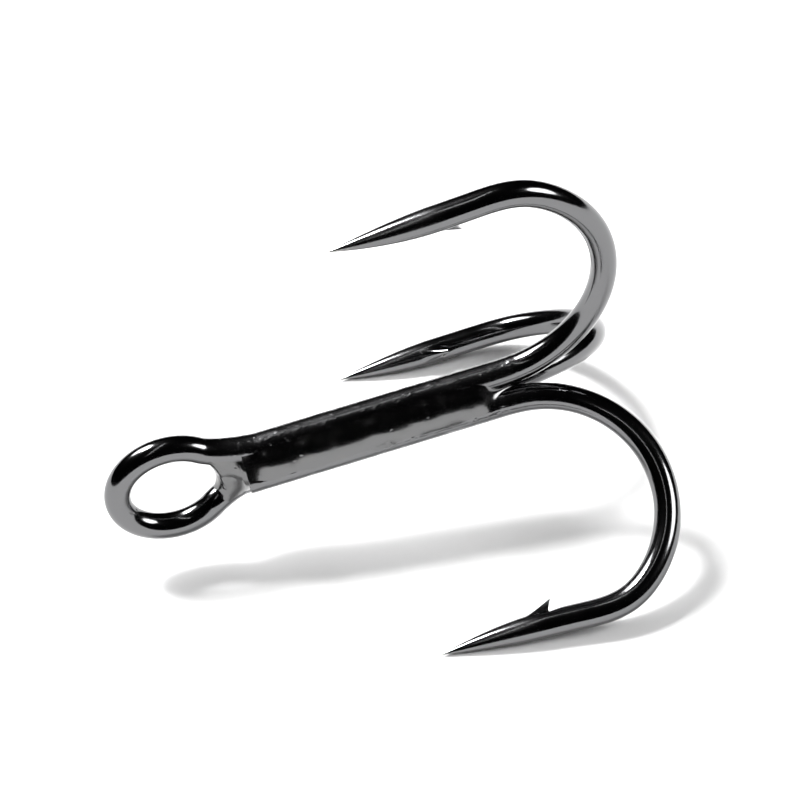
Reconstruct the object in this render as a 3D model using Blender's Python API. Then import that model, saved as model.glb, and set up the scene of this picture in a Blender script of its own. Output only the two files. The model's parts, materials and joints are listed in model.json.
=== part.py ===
"""Treble fishing hook, built from the pieces it is brazed together from.

The double hook is one wire. It runs from the upper point round its bend, along the shank, through the
eye loop and back along the shank to the rear bend and point. The single hook has no eye: it lies in
the groove between the two shanks and ends in a square cut. Brazing metal fills the three outer grooves
between the wires and the channel in the middle of them.

Everything is shaped with the shank along X and its axis on Y = Z = 0, the eye at -X and the bends at +X.
An empty then lays the hook down as it rests on a level surface, on the points of the front and rear hooks.
"""

import math

import bpy
import bmesh
import numpy as np
from mathutils import Euler

MM = 0.001

# Driving dimensions, in millimetres and degrees
HOOK_WIRE = 0.72            # wire radius in the bends and points
SHANK_WIRE = 0.78           # wire radius along the shank, tinned with brazing metal
EYE_WIRE = 0.71             # wire radius round the eye
SHANK_OFFSET = 0.93         # from the shank's axis to the middle of each wire
UPPER_ANGLE = 0.0           # where each hook's plane lies round the shank, seen from the eye
FRONT_ANGLE = 118.0
REAR_ANGLE = 237.0

BEND_RADIUS = 6.45          # of the round bend
CORNER_RADIUS = 3.43        # at the tightest place, where the bend turns into the point
BEND_ENTRY = 2.4            # length over which the straight shank takes up the bend's radius
ROUND_END = 17.0            # length along the wire from the shank to the end of the round bend
CORNER_MIDDLE = 18.65
CORNER_END = 21.4
POINT_LENGTH = 7.72         # straight stretch from the bend to the tip
POINT_FLARE = -1 / 78.0     # curvature of that stretch: the tip turns out a little
TIP_TAPER = 5.8             # length that is ground to a point
TIP_POWER = 1.75            # 1 is a plain cone, more is a fuller point
SLIMMING = 4.8              # length over which the shank's wire slims to the bend's

BARB_ROOT = 4.85            # from the tip to where the barb starts to rise
BARB_CUT = 6.15             # from the tip to the cut that raised it
BARB_HEIGHT = 0.62
BARB_REACH = 0.34           # how far the barb's free end leans back over its cut
NOTCH_DEPTH = 0.15
NOTCH_WIDTH = 0.07
UPPER_BARB_SHIFT = 0.6      # the upper hook's barb is cut this much further from its tip

EYE_X = -17.53              # middle of the eye
EYE_HALF_LENGTH = 2.93      # of the wire's centre line
EYE_HALF_HEIGHT = 2.45
EYE_DROP = 0.11             # middle of the eye below the shank's axis
EYE_TILT = -10.0            # turn of the eye's plane from the upper hook's
EYE_LEAVES = 48.0           # where on the eye's oval its two legs leave it
UPPER_LEG_X = -12.4         # the eye's upper leg lies on the shank from here on
LOWER_LEG_X = -10.6         # and its lower leg from here on
LOW_POINT = (-13.7, 0.27, -1.55)   # where the lower leg passes under the single hook's cut end
NECK_PULL = 2.4             # how long the legs keep their direction in the neck

CUT_END_X = -13.5           # square end of the single hook
SEAM_START_X = -13.1
SEAM_END_X = 2.0
CORE_START_X = -10.4
CORE_END_X = 1.0
WEB_EDGE_X = -15.1          # where the neck's web starts on the eye's legs
WEB_MIDDLE_X = -14.35       # and how far its hollow edge stands back between them
WEB_END_X = -13.6
WEB_FILL = 40.0
SEAM_FILL = 86.0            # how far up the wires the seams reach
SEAM_RIPPLE = 3.0
SEAM_START_FADE = 0.6       # lengths over which a seam grows at its ends
SEAM_END_FADE = 2.4
FRONT_SAG = -0.1            # the front seam is so full that it bulges
UNDER_SAG = 0.03
WEB_SAG = 0.06
SEAM_EDGE = 0.01            # half-thickness of a seam's thin inner edge
CLEARANCE = 0.02            # between touching pieces

REST_ROLL = 2.5             # turns that lay the hook on its two lower points
REST_PITCH = -7.55

FAR = 1000.0                # distance from the tip given to wire that is nowhere near a point

SIDES = 14
BEND_STEP = 1.0
RINGS_BEFORE_BARB = (0.45,)                  # distances from the cut towards the bend
RINGS_ON_BARB = (0.35, 0.7)                  # shares of the way from the cut to the barb's root
RINGS_ON_POINT = (3.5, 2.6, 1.8, 1.1, 0.5, 0.15)   # distances from the tip
SEAM_STATIONS = 40
FLANK_PLACES = 7
EYE_STEPS = 22
NECK_STEPS = 7


def across(degrees):
    """Unit vector square to the shank, at an angle round it from the upper hook's plane."""
    angle = math.radians(degrees)
    return np.array([0.0, -math.sin(angle), math.cos(angle)])


def smooth(t):
    """0 below 0, 1 above 1, and an S-curve between."""
    t = np.clip(t, 0.0, 1.0)
    return t * t * (3.0 - 2.0 * t)


def hook_line(lengths):
    """Place along the shank's direction and out from its wire's line, at lengths along the hook."""
    fine = np.linspace(0.0, CORNER_END + POINT_LENGTH, 1200)
    knots = [0.0, BEND_ENTRY, ROUND_END, CORNER_MIDDLE, CORNER_END]
    bends = [0.0, 1 / BEND_RADIUS, 1 / BEND_RADIUS, 1 / CORNER_RADIUS, 0.0]
    curvature = np.where(fine > CORNER_END, POINT_FLARE, np.interp(fine, knots, bends))
    step = fine[1] - fine[0]
    heading = running_sum(curvature, step)
    along = running_sum(np.cos(heading), step)
    out = running_sum(np.sin(heading), step)
    return np.interp(lengths, fine, along), np.interp(lengths, fine, out)


def running_sum(values, step):
    """Integral from the start, by the trapezium rule."""
    parts = (values[1:] + values[:-1]) * 0.5 * step
    return np.concatenate([[0.0], np.cumsum(parts)])


def hook_lengths(barb_shift):
    """Lengths along the hook of its rings of points, from the shank's end to the tip."""
    tip = CORNER_END + POINT_LENGTH
    before = [BARB_CUT + a for a in RINGS_BEFORE_BARB]
    rise = [BARB_CUT + (BARB_ROOT - BARB_CUT) * a for a in RINGS_ON_BARB]
    barb = before + [BARB_CUT + NOTCH_WIDTH, BARB_CUT] + rise + [BARB_ROOT]
    bend = list(np.arange(0.0, tip - barb[0] - barb_shift - 0.6 * BEND_STEP, BEND_STEP))
    return np.array(bend + [tip - a - barb_shift for a in barb] + [tip - a for a in RINGS_ON_POINT])


def hook_points(angle):
    """Centre line, wire radius and distance from the tip, from the shank's end outwards.

    The distance from the tip is given as it is on a hook whose barb is not shifted.
    """
    barb_shift = UPPER_BARB_SHIFT if angle == UPPER_ANGLE else 0.0
    lengths = hook_lengths(barb_shift)
    from_tip = CORNER_END + POINT_LENGTH - lengths
    along, out = hook_line(lengths)
    centres = np.outer(along, [1.0, 0.0, 0.0]) + np.outer(SHANK_OFFSET + out, across(angle))
    wire = SHANK_WIRE + (HOOK_WIRE - SHANK_WIRE) * np.clip(lengths / SLIMMING, 0.0, 1.0)
    taper = 1.0 - (1.0 - np.clip(from_tip / TIP_TAPER, 0.0, 1.0)) ** TIP_POWER
    return centres, wire * taper, from_tip - barb_shift


def on_shank(x, angle):
    """Middle of a wire on the shank's straight run."""
    return np.array([x, 0.0, 0.0]) + SHANK_OFFSET * across(angle)


def straight_points(start_x, angle):
    """The shank's straight run, from start_x up to the start of the bend."""
    return np.array([on_shank(x, angle) for x in (start_x, start_x * 0.5, -1.0)])


def eye_points():
    """The eye's open oval, from its upper leg round the free end to its lower leg."""
    turn = np.radians(np.linspace(EYE_LEAVES, 360.0 - EYE_LEAVES, EYE_STEPS))
    xs = EYE_X + EYE_HALF_LENGTH * np.cos(turn)
    return np.outer(xs, [1.0, 0.0, 0.0]) + np.outer(EYE_HALF_HEIGHT * np.sin(turn) - EYE_DROP, across(EYE_TILT))


def blend(start, start_direction, end, end_direction, steps):
    """Smooth curve between two places, without its first point."""
    t = np.linspace(0.0, 1.0, steps + 1)[1:, None]
    pull = NECK_PULL * min(1.0, np.linalg.norm(end - start) / (1.5 * NECK_PULL))
    return ((2 * t**3 - 3 * t**2 + 1) * start + (t**3 - 2 * t**2 + t) * pull * start_direction
            + (3 * t**2 - 2 * t**3) * end + (t**3 - t**2) * pull * end_direction)


def leg_points():
    """The eye's upper and lower legs, each from the eye's oval to its line on the shank.

    The lower leg passes under the single hook's end and rides round its wire to the rear of the shank.
    """
    leave = math.radians(EYE_LEAVES)
    eye = eye_points()
    sweep = np.array([EYE_HALF_LENGTH * math.sin(leave), 0.0, 0.0])
    drop = EYE_HALF_HEIGHT * math.cos(leave) * across(EYE_TILT)
    size = np.linalg.norm(sweep - drop)
    level = np.array([1.0, 0.0, 0.0])
    upper = blend(eye[0], (sweep - drop) / size, on_shank(UPPER_LEG_X, UPPER_ANGLE), level, NECK_STEPS)
    low_point = np.array(LOW_POINT)
    down = blend(eye[-1], (sweep + drop) / size, low_point, level, NECK_STEPS - 3)
    round_wire = blend(low_point, level, on_shank(LOWER_LEG_X, REAR_ANGLE), level, NECK_STEPS)
    beside = SHANK_OFFSET * across(FRONT_ANGLE)
    away = (round_wire - beside) * np.array([0.0, 1.0, 1.0])
    distance = np.linalg.norm(away, axis=1)
    short = np.maximum(2 * SHANK_WIRE + 1.5 * CLEARANCE - distance, 0.0)
    round_wire += away * (short / distance)[:, None]
    return upper, np.concatenate([down, round_wire])


def rings_round(centres, radii, plane_angles, from_tip):
    """Rings of points round a centre line. The first point of each ring faces into the hook's gape."""
    tangent = np.gradient(centres, axis=0)
    tangent /= np.linalg.norm(tangent, axis=1)[:, None]
    side = np.cross([1.0, 0.0, 0.0], np.array([across(a) for a in plane_angles]))
    outward = np.cross(side, tangent)
    outward /= np.linalg.norm(outward, axis=1)[:, None]
    side = np.cross(tangent, outward)
    turn = 2 * math.pi * np.arange(SIDES) / SIDES
    spoke = -np.cos(turn)[None, :, None] * outward[:, None] + np.sin(turn)[None, :, None] * side[:, None]
    rings = centres[:, None] + radii[:, None, None] * spoke
    to_bend = tangent * np.sign(np.gradient(from_tip))[:, None]
    raised = np.clip((from_tip - BARB_ROOT) / (BARB_CUT - BARB_ROOT), 0.0, 1.0)
    raised[from_tip > BARB_CUT + 0.5 * NOTCH_WIDTH] = 0.0
    sunk = np.abs(from_tip - BARB_CUT - NOTCH_WIDTH) < 0.5 * NOTCH_WIDTH
    rise = BARB_HEIGHT * raised - NOTCH_DEPTH * sunk
    rings[:, 0] += -outward * rise[:, None] + to_bend * (BARB_REACH * raised)[:, None]
    return rings


def closed_skin(name, rings, ends, material):
    """Object with faces between the rings. Each end is None for a flat cap, or a point to close on."""
    mesh = bpy.data.meshes.new(name)
    shape = bmesh.new()
    loops = [[shape.verts.new(p * MM) for p in ring] for ring in rings]
    count = len(loops[0])
    for first, second in zip(loops, loops[1:]):
        for i in range(count):
            j = (i + 1) % count
            shape.faces.new((first[i], first[j], second[j], second[i]))
    for loop, end in zip((loops[0][::-1], loops[-1]), ends):
        if end is None:
            shape.faces.new(loop)
            continue
        pole = shape.verts.new(end * MM)
        for i in range(count):
            shape.faces.new((loop[i], loop[(i + 1) % count], pole))
    if shape.calc_volume(signed=True) < 0.0:
        bmesh.ops.reverse_faces(shape, faces=shape.faces)
    shape.to_mesh(mesh)
    shape.free()
    mesh.materials.append(material)
    mesh.shade_smooth()
    mesh.set_sharp_from_angle(angle=math.radians(40.0))
    piece = bpy.data.objects.new(name, mesh)
    bpy.context.scene.collection.objects.link(piece)
    return piece


def tip_point(angle):
    """The very end of a hook's point."""
    along, out = hook_line(np.array([CORNER_END + POINT_LENGTH]))
    return np.array([along[0], 0.0, 0.0]) + (SHANK_OFFSET + out[0]) * across(angle)


class Route:
    """A wire's centre line near the shank, which can be asked for its place at any x."""

    def __init__(self, centres, radii):
        order = np.argsort(centres[:, 0])
        self.centres = centres[order]
        self.radii = radii[order]

    def middle(self, x):
        return np.array([np.interp(x, self.centres[:, 0], self.centres[:, k]) for k in range(3)])

    def radius(self, x):
        return np.interp(x, self.centres[:, 0], self.radii) + CLEARANCE

    def direction(self, x):
        step = self.middle(x + 0.05) - self.middle(x - 0.05)
        return step / np.linalg.norm(step)


def wire_routes():
    """Routes of the upper, front and rear wires from the eye to where their bends are well apart."""
    upper_leg, lower_leg = leg_points()
    eye = eye_points()
    routes = []
    parts = ((eye[:4], upper_leg, UPPER_ANGLE), (None, None, FRONT_ANGLE), (eye[-4:], lower_leg, REAR_ANGLE))
    for ring, leg, angle in parts:
        hook, hook_radii, _ = hook_points(angle)
        centres = [hook[:6]]
        radii = [hook_radii[:6]]
        if leg is None:
            centres.append(on_shank(CUT_END_X, angle)[None])
            radii.append(np.array([SHANK_WIRE]))
        else:
            centres += [leg, ring]
            radii += [leg_radii(leg), np.full(len(ring), EYE_WIRE)]
        routes.append(Route(np.concatenate(centres), np.concatenate(radii)))
    return routes


def leg_radii(leg):
    """The wire thickens from the eye's radius to the shank's along a leg."""
    return EYE_WIRE + (SHANK_WIRE - EYE_WIRE) * smooth(np.linspace(0.0, 1.0, len(leg) + 1)[1:])


def make_double_hook(material):
    """Upper hook, eye and rear hook: one wire from point to point."""
    upper, upper_radii, upper_tip = hook_points(UPPER_ANGLE)
    rear, rear_radii, rear_tip = hook_points(REAR_ANGLE)
    upper_leg, lower_leg = leg_points()
    upper_run = straight_points(UPPER_LEG_X * 0.9, UPPER_ANGLE)
    rear_run = straight_points(LOWER_LEG_X * 0.9, REAR_ANGLE)
    eye = eye_points()
    run_radii = np.full(len(upper_run), SHANK_WIRE)
    turned = REAR_ANGLE - 180.0
    sections = (
        (upper[::-1], upper_radii[::-1], upper_tip[::-1], UPPER_ANGLE, UPPER_ANGLE),
        (upper_run[::-1], run_radii, None, UPPER_ANGLE, UPPER_ANGLE),
        (upper_leg[::-1], leg_radii(upper_leg)[::-1], None, UPPER_ANGLE, EYE_TILT),
        (eye, np.full(len(eye), EYE_WIRE), None, EYE_TILT, EYE_TILT),
        (lower_leg, leg_radii(lower_leg), None, EYE_TILT, turned),
        (rear_run, run_radii, None, turned, turned),
        (rear, rear_radii, rear_tip, turned, turned),
    )
    centres = np.concatenate([s[0] for s in sections])
    radii = np.concatenate([s[1] for s in sections])
    from_tip = np.concatenate([np.full(len(s[0]), FAR) if s[2] is None else s[2] for s in sections])
    angles = np.concatenate([np.linspace(s[3], s[4], len(s[0])) for s in sections])
    rings = rings_round(centres, radii, angles, from_tip)
    return closed_skin("double_hook", rings, (tip_point(UPPER_ANGLE), tip_point(REAR_ANGLE)), material)


def make_single_hook(material):
    """Front hook: a bent and pointed wire with no eye."""
    hook, hook_radii, hook_tip = hook_points(FRONT_ANGLE)
    run = straight_points(CUT_END_X, FRONT_ANGLE)
    centres = np.concatenate([run, hook])
    radii = np.concatenate([np.full(len(run), SHANK_WIRE), hook_radii])
    from_tip = np.concatenate([np.full(len(run), FAR), hook_tip])
    angles = np.full(len(centres), FRONT_ANGLE - 180.0)
    rings = rings_round(centres, radii, angles, from_tip)
    return closed_skin("single_hook", rings, (None, tip_point(FRONT_ANGLE)), material)


def flank(route, x, inward, outward, turns):
    """Points on a wire's surface, from its side facing the neighbour (inward) round towards outward."""
    direction = route.direction(x)
    side = inward - direction * np.dot(inward, direction)
    side /= np.linalg.norm(side)
    top = outward - direction * np.dot(outward, direction) - side * np.dot(outward, side)
    top /= np.linalg.norm(top)
    spokes = np.outer(np.cos(turns), side) + np.outer(np.sin(turns), top)
    return route.middle(x) + route.radius(x) * spokes


def face_between(first, second, bulge_x, sag, outward):
    """Points of a seam's open face between the ends of its two flanks."""
    share = np.array([0.25, 0.5, 0.75])[:, None]
    hollow = 1.0 - (2.0 * share - 1.0) ** 2
    straight = first * (1.0 - share) + second * share
    return straight + hollow * (np.array([bulge_x, 0.0, 0.0]) - sag * outward)


def groove(first, second, third, x):
    """Half the distance between two wires, its direction, and the direction out of their groove."""
    a = first.middle(x)
    b = second.middle(x)
    half = 0.5 * np.linalg.norm(b - a)
    over = (b - a) / (2.0 * half)
    outward = 0.5 * (a + b) - third
    outward[0] = 0.0
    outward -= over * np.dot(outward, over)
    return half, over, outward / np.linalg.norm(outward)


def make_seam(name, first, second, third, sag, phase, material):
    """Brazing metal in the outer groove between two wires: two hollow flanks and an open face."""
    rings = []
    for x in np.linspace(SEAM_START_X, SEAM_END_X, SEAM_STATIONS):
        half, over, outward = groove(first, second, third.middle(max(x, CUT_END_X)), x)
        ripple = math.sin(1.9 * x + phase) + 0.6 * math.sin(3.1 * x + 2.0 * phase)
        ends = smooth((x - SEAM_START_X) / SEAM_START_FADE) * smooth((SEAM_END_X - x) / SEAM_END_FADE)
        low = math.acos(min((half - SEAM_EDGE) / max(first.radius(x), second.radius(x)), 1.0))
        high = low + (math.radians(SEAM_FILL + SEAM_RIPPLE * ripple) - low) * (0.25 + 0.75 * ends)
        turns = np.linspace(low, high, FLANK_PLACES)
        near = flank(first, x, over, outward, turns)
        far = flank(second, x, -over, outward, turns)
        face = face_between(near[-1], far[-1], 0.0, sag * ends, outward)
        rings.append(np.concatenate([near, face, far[::-1]]))
    return closed_skin(name, rings, (None, None), material)


def make_web(upper, rear, material):
    """Brazing metal between the eye's two legs in the neck, hollow towards the eye's hole."""
    rings = []
    outward = across(EYE_TILT + 90.0)
    for share in np.linspace(0.0, 1.0, 6):
        x = WEB_EDGE_X + (WEB_END_X - WEB_EDGE_X) * share
        stand_back = (WEB_MIDDLE_X - WEB_EDGE_X) * (1.0 - share)
        over = rear.middle(x) - upper.middle(x)
        reach = math.radians(WEB_FILL) * (0.45 + 0.55 * smooth(share * 2.5))
        turns = np.linspace(-reach, reach, 5)
        near = flank(upper, x, over, outward, turns)
        far = flank(rear, x, -over, outward, turns)
        front = face_between(near[-1], far[-1], stand_back, WEB_SAG, outward)
        back = face_between(far[0], near[0], stand_back, WEB_SAG, -outward)
        rings.append(np.concatenate([near, front, far[::-1], back]))
    return closed_skin("braze_neck", rings, (None, None), material)


def make_core(routes, material):
    """Brazing metal in the three-cornered channel in the middle of the wires."""
    rings = []
    for x in np.linspace(CORE_START_X, CORE_END_X, 6):
        ring = []
        for i, route in enumerate(routes):
            middle = route.middle(x)
            to_next = routes[(i + 1) % 3].middle(x) - middle
            to_last = routes[i - 1].middle(x) - middle
            inner = []
            for gap in (to_last, to_next):
                edge = math.acos(min((0.5 * np.linalg.norm(gap) - SEAM_EDGE) / route.radius(x), 1.0))
                inner.append(math.atan2(gap[2], gap[1]) + edge * (1.0 if gap is to_next else -1.0))
            start = inner[0]
            stop = start + (inner[1] - start + math.pi) % (2 * math.pi) - math.pi
            turns = np.linspace(start, stop, 4)
            spokes = np.stack([np.zeros(4), np.cos(turns), np.sin(turns)], axis=1)
            ring += list(middle + route.radius(x) * spokes)
        rings.append(ring)
    return closed_skin("braze_core", rings, (None, None), material)


def make_material(name, colour, roughness):
    """Bare or plated metal."""
    material = bpy.data.materials.new(name)
    material.use_nodes = True
    shader = material.node_tree.nodes["Principled BSDF"]
    shader.inputs["Base Color"].default_value = (*colour, 1.0)
    shader.inputs["Metallic"].default_value = 1.0
    shader.inputs["Roughness"].default_value = roughness
    return material


def lay_down(pieces):
    """Parent the pieces to an empty that rests them on Z = 0, centred over the origin."""
    rest = bpy.data.objects.new("rest_pose", None)
    bpy.context.scene.collection.objects.link(rest)
    turn = Euler((math.radians(REST_ROLL), math.radians(REST_PITCH), 0.0), "XYZ")
    matrix = turn.to_matrix()
    corners = np.array([matrix @ v.co for piece in pieces for v in piece.data.vertices])
    low = corners.min(axis=0)
    high = corners.max(axis=0)
    rest.rotation_euler = turn
    rest.location = (-0.5 * (low[0] + high[0]), -0.5 * (low[1] + high[1]), -low[2])
    for piece in pieces:
        piece.parent = rest


def main():
    """Build every piece in the shank's axes, then lay the hook down."""
    for leftover in list(bpy.data.objects):
        bpy.data.objects.remove(leftover, do_unlink=True)
    plated = make_material("black_nickel_wire", (0.17, 0.17, 0.175), 0.12)
    plated_single = make_material("black_nickel_single", (0.165, 0.165, 0.17), 0.13)
    filler = make_material("plated_braze", (0.15, 0.15, 0.155), 0.3)
    upper, front, rear = wire_routes()
    pieces = [
        make_double_hook(plated),
        make_single_hook(plated_single),
        make_seam("braze_front", upper, front, rear, FRONT_SAG, 0.5, filler),
        make_seam("braze_under", front, rear, upper, UNDER_SAG, 2.0, filler),
        make_seam("braze_rear", rear, upper, front, UNDER_SAG, 3.5, filler),
        make_web(upper, rear, filler),
        make_core((upper, front, rear), filler),
    ]
    lay_down(pieces)


main()
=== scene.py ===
# %% [markdown]
# # A treble hook, wire by wire
#
# A treble hook looks like one casting, but it is two bent wires and some brazing metal. One wire makes
# two of the hooks and the eye, a second wire makes the third hook, and the brazing metal joins them
# along the shank. The whole thing is then plated with black nickel, so it is a dark mirror.
#
# This lesson builds the pieces as surfaces worked out with numpy, around a imported model that already
# fixes their sizes. The first cell loads that model and its record.

import json
import math

import bpy
import numpy as np
from mathutils import Euler, Matrix, Vector


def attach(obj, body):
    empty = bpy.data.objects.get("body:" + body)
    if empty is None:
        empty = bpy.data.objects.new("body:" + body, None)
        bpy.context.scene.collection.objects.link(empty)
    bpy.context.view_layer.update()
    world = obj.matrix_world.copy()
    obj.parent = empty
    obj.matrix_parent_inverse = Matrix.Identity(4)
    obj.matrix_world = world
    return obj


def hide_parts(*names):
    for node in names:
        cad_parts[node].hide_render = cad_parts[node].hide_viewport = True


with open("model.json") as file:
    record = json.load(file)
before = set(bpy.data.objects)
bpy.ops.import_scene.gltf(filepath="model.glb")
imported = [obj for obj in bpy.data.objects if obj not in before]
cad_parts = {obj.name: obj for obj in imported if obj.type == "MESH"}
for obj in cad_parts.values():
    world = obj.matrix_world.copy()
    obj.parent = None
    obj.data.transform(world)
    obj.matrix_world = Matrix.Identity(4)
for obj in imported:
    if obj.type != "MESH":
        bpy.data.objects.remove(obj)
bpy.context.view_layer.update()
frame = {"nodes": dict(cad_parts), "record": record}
print("packed nodes:", sorted(frame["nodes"]))

# %% [markdown]
# ## The hook's own axes
#
# The hook rests on two of its points, so its shank slopes and every wire lies at an odd angle. It is
# far easier to draw it straight: shank along X, eye at -X, bends at +X, millimetres. A rotation and a
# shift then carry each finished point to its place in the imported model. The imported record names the
# middle of the eye, which fixes the shift; the two turns are the slopes of the resting hook. The eye's
# oval is tilted a little round the shank and hangs a little low, as a hand-closed eye does.

# %% From the hook's axes to the world
MM = 0.001
REST_TURN = Euler((math.radians(2.5), math.radians(-7.55), 0.0), "XYZ")
EYE_X = -17.53
EYE_TILT = -10.0
EYE_DROP = 0.11
LEVEL = np.array([1.0, 0.0, 0.0])


def across(degrees):
    """Unit vector square to the shank, at an angle round it from the upper hook."""
    angle = np.radians(degrees)
    return np.stack([np.zeros_like(angle), -np.sin(angle), np.cos(angle)], axis=-1)


def to_world(points):
    """Millimetres in the hook's axes, turned to the resting slope and moved, in metres."""
    return points * MM @ turn_matrix.T + shank_origin


eye_mount = next(m for m in frame["record"]["mounts"] if m["name"] == "eye")
turn_matrix = np.array(REST_TURN.to_matrix())
eye_middle = EYE_X * LEVEL - EYE_DROP * across(EYE_TILT)
shank_origin = np.array(eye_mount["pos_m"]) - turn_matrix @ (eye_middle * MM)
print("middle of the shank's bend end, in metres:", shank_origin.round(5))

# %% [markdown]
# ## The line that one hook follows
#
# A hook is drawn by bending wire round a former, so the natural description is its curvature: how
# sharply it bends at each length along the wire. The shank is straight, the curvature climbs over a
# short entry, stays level round the bend, peaks at the corner behind the barb and drops to nearly
# nothing along the point. Summing curvature gives the heading, and summing the heading gives the line.
# A Bezier curve could be nudged to the same outline, but its bend would never be quite round.

# %% Bend line and wire thickness
HOOK_WIRE = 0.72
SHANK_WIRE = 0.78
EYE_WIRE = 0.72
SHANK_OFFSET = 0.93
UPPER_ANGLE = 0.0
FRONT_ANGLE = 118.0
REAR_ANGLE = 237.0
BEND_RADIUS = 6.45
CORNER_RADIUS = 3.43
BEND_ENTRY = 2.4
ROUND_END = 17.0
CORNER_MIDDLE = 18.65
CORNER_END = 21.4
POINT_LENGTH = 7.72
POINT_FLARE = -1 / 78.0
TIP_TAPER = 5.8
TIP_POWER = 1.75
SLIMMING = 4.8
HOOK_LENGTH = CORNER_END + POINT_LENGTH
LINE_PLACES = 4000


def running_sum(values, step):
    """Area under the values from the start, taking straight lines between them."""
    parts = (values[1:] + values[:-1]) * 0.5 * step
    return np.concatenate([[0.0], np.cumsum(parts)])


def hook_line(lengths):
    """Curvature is summed once for the heading, and the heading's cosine and sine for the line."""
    fine = np.linspace(0.0, HOOK_LENGTH, LINE_PLACES)
    knots = [0.0, BEND_ENTRY, ROUND_END, CORNER_MIDDLE, CORNER_END]
    bends = [0.0, 1 / BEND_RADIUS, 1 / BEND_RADIUS, 1 / CORNER_RADIUS, 0.0]
    curvature = np.where(fine > CORNER_END, POINT_FLARE, np.interp(fine, knots, bends))
    step = fine[1] - fine[0]
    heading = running_sum(curvature, step)
    along = running_sum(np.cos(heading), step)
    out = running_sum(np.sin(heading), step)
    return np.interp(lengths, fine, along), np.interp(lengths, fine, out)


def hook_centres(lengths, angle):
    """The bend line, laid in the plane that holds the shank and the hook's own direction."""
    along, out = hook_line(lengths)
    return np.outer(along, LEVEL) + np.outer(SHANK_OFFSET + out, across(angle))


def hook_radius(lengths):
    """Shank wire slims to hook wire, and the tip's radius falls as 1 - (1 - share)^power to nothing."""
    wire = SHANK_WIRE + (HOOK_WIRE - SHANK_WIRE) * np.clip(lengths / SLIMMING, 0.0, 1.0)
    share = np.clip((HOOK_LENGTH - lengths) / TIP_TAPER, 0.0, 1.0)
    return wire * (1.0 - (1.0 - share) ** TIP_POWER)


reach = hook_line(np.linspace(0.0, HOOK_LENGTH, LINE_PLACES))
print("hook reaches", reach[0].max().round(2), "mm past the shank and", reach[1].max().round(2), "mm out")

# %% [markdown]
# ## The eye and its two legs
#
# The eye is the middle of the long wire, bent into an open oval. Its two legs close in to the shank:
# the upper one drops straight onto it, and the lower one passes under the cut end of the single hook
# and rides round that wire to the back. Cubic blends (Hermite curves) join the oval to the shank,
# because they start and end in a chosen direction, so the wire never kinks.

# %% Eye oval and legs
EYE_HALF_LENGTH = 2.93
EYE_HALF_HEIGHT = 2.45
EYE_LEAVES = 48.0
UPPER_LEG_X = -12.4
LOWER_LEG_X = -10.6
LOW_POINT = np.array([-13.7, 0.27, -1.55])
NECK_PULL = 2.4
FULL_PULL_SPAN = 3.6
LEG_GAP = 0.03
UPPER_LEG_STEPS = 40
DOWN_STEPS = 22
ROUND_STEPS = 34
SHANK_STEP = 0.14


def smooth(t):
    """0 below 0, 1 above 1, and 3t^2 - 2t^3 between."""
    t = np.clip(t, 0.0, 1.0)
    return t * t * (3.0 - 2.0 * t)


def on_shank(x, angle):
    """Middle of a wire on the straight shank."""
    return np.array([x, 0.0, 0.0]) + SHANK_OFFSET * across(angle)


def eye_oval(degrees):
    """Half length times the cosine along the shank, half height times the sine across it."""
    turn = np.radians(degrees)
    xs = EYE_X + EYE_HALF_LENGTH * np.cos(turn)
    return np.outer(xs, LEVEL) + np.outer(EYE_HALF_HEIGHT * np.sin(turn) - EYE_DROP, across(EYE_TILT))


def blend(start, start_way, end, end_way, steps):
    """Hermite curve: both ends and both directions are given, and t runs evenly from 0 to 1.

    The pull is how far the curve keeps its end directions; a short blend is pulled less.
    """
    t = np.linspace(0.0, 1.0, steps + 1)[1:, None]
    pull = NECK_PULL * min(1.0, np.linalg.norm(end - start) / FULL_PULL_SPAN)
    return ((2 * t**3 - 3 * t**2 + 1) * start + (t**3 - 2 * t**2 + t) * pull * start_way
            + (3 * t**2 - 2 * t**3) * end + (t**3 - t**2) * pull * end_way)


def eye_legs():
    """The oval's two loose ends blended to the shank; the lower one is held off the front wire."""
    first, last = eye_oval(np.array([EYE_LEAVES, 360.0 - EYE_LEAVES]))
    leave = math.radians(EYE_LEAVES)
    sweep = EYE_HALF_LENGTH * math.sin(leave) * LEVEL
    drop = EYE_HALF_HEIGHT * math.cos(leave) * across(EYE_TILT)
    size = np.linalg.norm(sweep - drop)
    upper = blend(first, (sweep - drop) / size, on_shank(UPPER_LEG_X, UPPER_ANGLE), LEVEL,
                  UPPER_LEG_STEPS)
    down = blend(last, (sweep + drop) / size, LOW_POINT, LEVEL, DOWN_STEPS)
    round_wire = blend(LOW_POINT, LEVEL, on_shank(LOWER_LEG_X, REAR_ANGLE), LEVEL, ROUND_STEPS)
    away = (round_wire - SHANK_OFFSET * across(FRONT_ANGLE)) * np.array([0.0, 1.0, 1.0])
    distance = np.linalg.norm(away, axis=1)
    short = np.maximum(2 * SHANK_WIRE + LEG_GAP - distance, 0.0)
    return upper, np.concatenate([down, round_wire + away * (short / distance)[:, None]])


def leg_radius(leg):
    """The eye's wire thickens to the tinned shank's along a leg."""
    return EYE_WIRE + (SHANK_WIRE - EYE_WIRE) * smooth(np.linspace(0.0, 1.0, len(leg)))


def shank_run(start_x, angle):
    """Even steps along the straight shank, up to where the bend starts."""
    xs = np.arange(start_x + SHANK_STEP, -0.5 * SHANK_STEP, SHANK_STEP)
    return np.array([on_shank(x, angle) for x in xs])


upper_leg, lower_leg = eye_legs()
print("legs have", len(upper_leg), "and", len(lower_leg), "places")

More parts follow.
